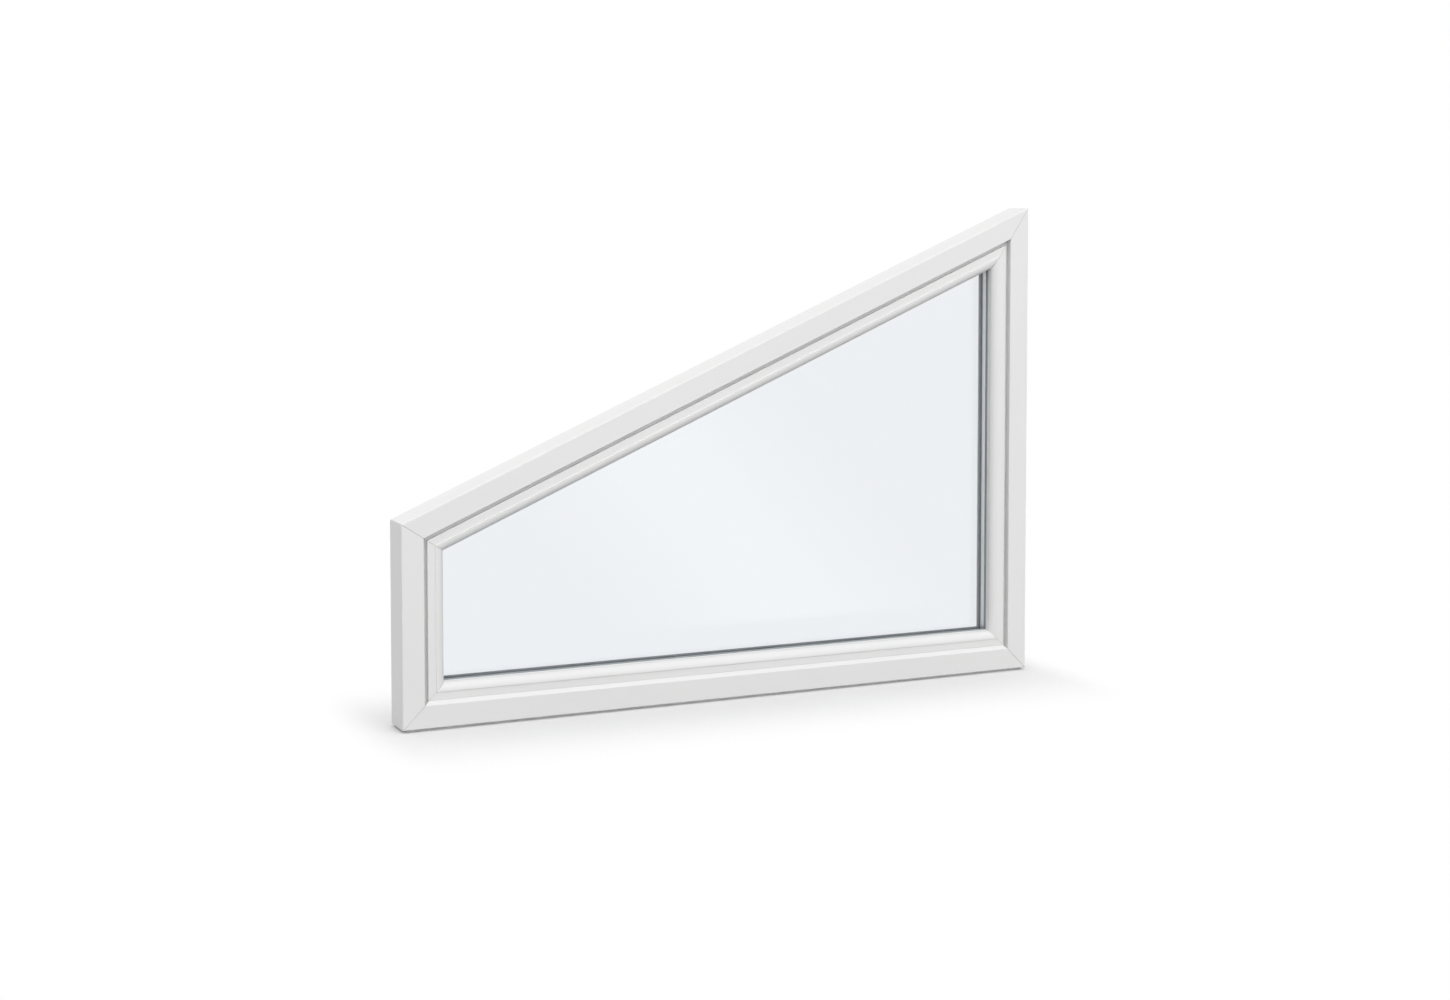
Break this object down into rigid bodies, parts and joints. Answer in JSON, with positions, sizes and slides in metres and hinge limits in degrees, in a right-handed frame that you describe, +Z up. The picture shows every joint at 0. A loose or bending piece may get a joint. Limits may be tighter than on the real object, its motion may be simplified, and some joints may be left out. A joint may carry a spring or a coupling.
{
  "type": "trapezoid fixed window",
  "caption": "Trapezoid fixed window with a raked head: white mitred plastic frame, moulded glazing beads and a sealed insulating glass unit, for a wall under a sloping roof.",
  "frame": {"origin": "middle of the underside of the sill's foot, at half the frame's depth", "axes": "+X along the sill towards the tall jamb, +Y from the bead side to the back, +Z up"},
  "size_m": [1.25, 0.07, 0.899],
  "materials": {
    "white_pvc": "satin white PVC-U",
    "gasket_rubber": "matt dark grey glazing gasket",
    "clear_glass": "clear float glass",
    "spacer_aluminium": "mill-finish spacer bar",
    "edge_sealant": "matt black edge sealant",
    "block_plastic": "plain glazing block"
  },
  "bodies": {
    "root": {"frame_sill": "white_pvc", "frame_right_jamb": "white_pvc", "frame_raked_head": "white_pvc", "frame_left_jamb": "white_pvc", "bead_sill": "white_pvc", "bead_right_jamb": "white_pvc", "bead_raked_head": "white_pvc", "bead_left_jamb": "white_pvc", "front_gasket_sill": "gasket_rubber", "front_gasket_right_jamb": "gasket_rubber", "front_gasket_raked_head": "gasket_rubber", "front_gasket_left_jamb": "gasket_rubber", "back_gasket_sill": "gasket_rubber", "back_gasket_right_jamb": "gasket_rubber", "back_gasket_raked_head": "gasket_rubber", "back_gasket_left_jamb": "gasket_rubber", "spacer_sill": "spacer_aluminium", "spacer_right_jamb": "spacer_aluminium", "spacer_raked_head": "spacer_aluminium", "spacer_left_jamb": "spacer_aluminium", "front_pane": "clear_glass", "back_pane": "clear_glass", "edge_seal": "edge_sealant", "setting_block_left": "block_plastic", "setting_block_right": "block_plastic", "jamb_block_left": "block_plastic", "jamb_block_right": "block_plastic"}
  },
  "joints": []
}
